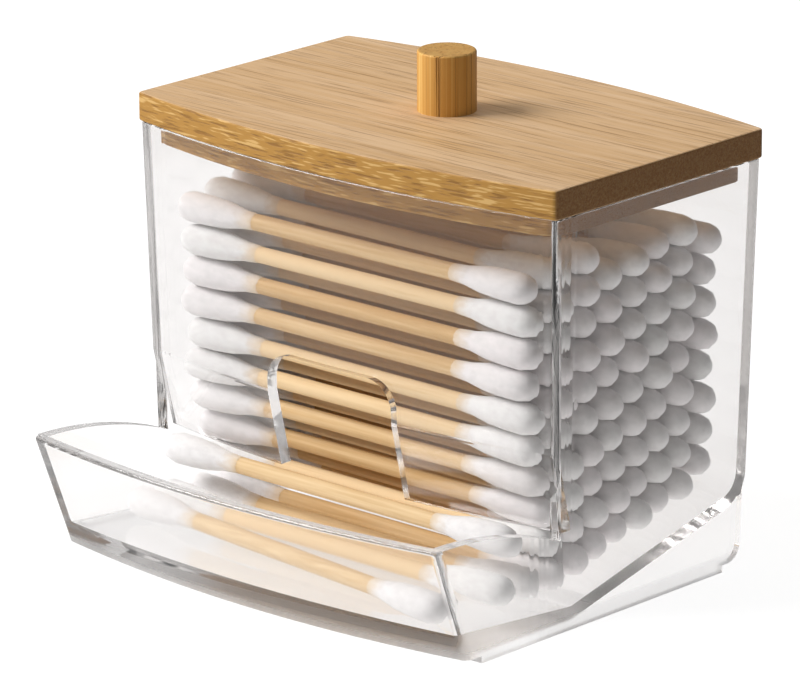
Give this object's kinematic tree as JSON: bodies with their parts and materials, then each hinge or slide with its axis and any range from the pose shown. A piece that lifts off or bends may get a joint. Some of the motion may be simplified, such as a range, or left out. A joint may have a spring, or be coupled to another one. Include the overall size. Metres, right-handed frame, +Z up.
{
  "type": "cotton swab dispenser",
  "caption": "Clear plastic hopper with bowed walls, a finger notch and a front tray, topped by a bamboo lift-off lid with a round knob and filled with cotton swabs.",
  "frame": {"origin": "middle of the bounding box on the surface that the foot rails stand on", "axes": "+X across the dispenser to the right as seen from the tray, +Y from the tray to the back wall, +Z up"},
  "size_m": [0.0904, 0.0852, 0.0828],
  "materials": {
    "clear_plastic": "clear, polished",
    "bamboo": "satin, fine grain along the lid",
    "screw_steel": "plated",
    "stick_wood": "raw, matte",
    "cotton": "soft, matte"
  },
  "bodies": {
    "container": {"container": "clear_plastic", "hopper_swab_sticks": "stick_wood", "hopper_swab_tips": "cotton", "tray_swab_sticks": "stick_wood", "tray_swab_tips": "cotton"},
    "lid": {"lid_board": "bamboo", "knob": "bamboo", "knob_screw": "screw_steel"}
  },
  "joints": [
    {"name": "lid_lift", "type": "slide", "parent": "container", "child": "lid", "axis": [0, 0, 1], "range_m": [0, 0.04]}
  ]
}
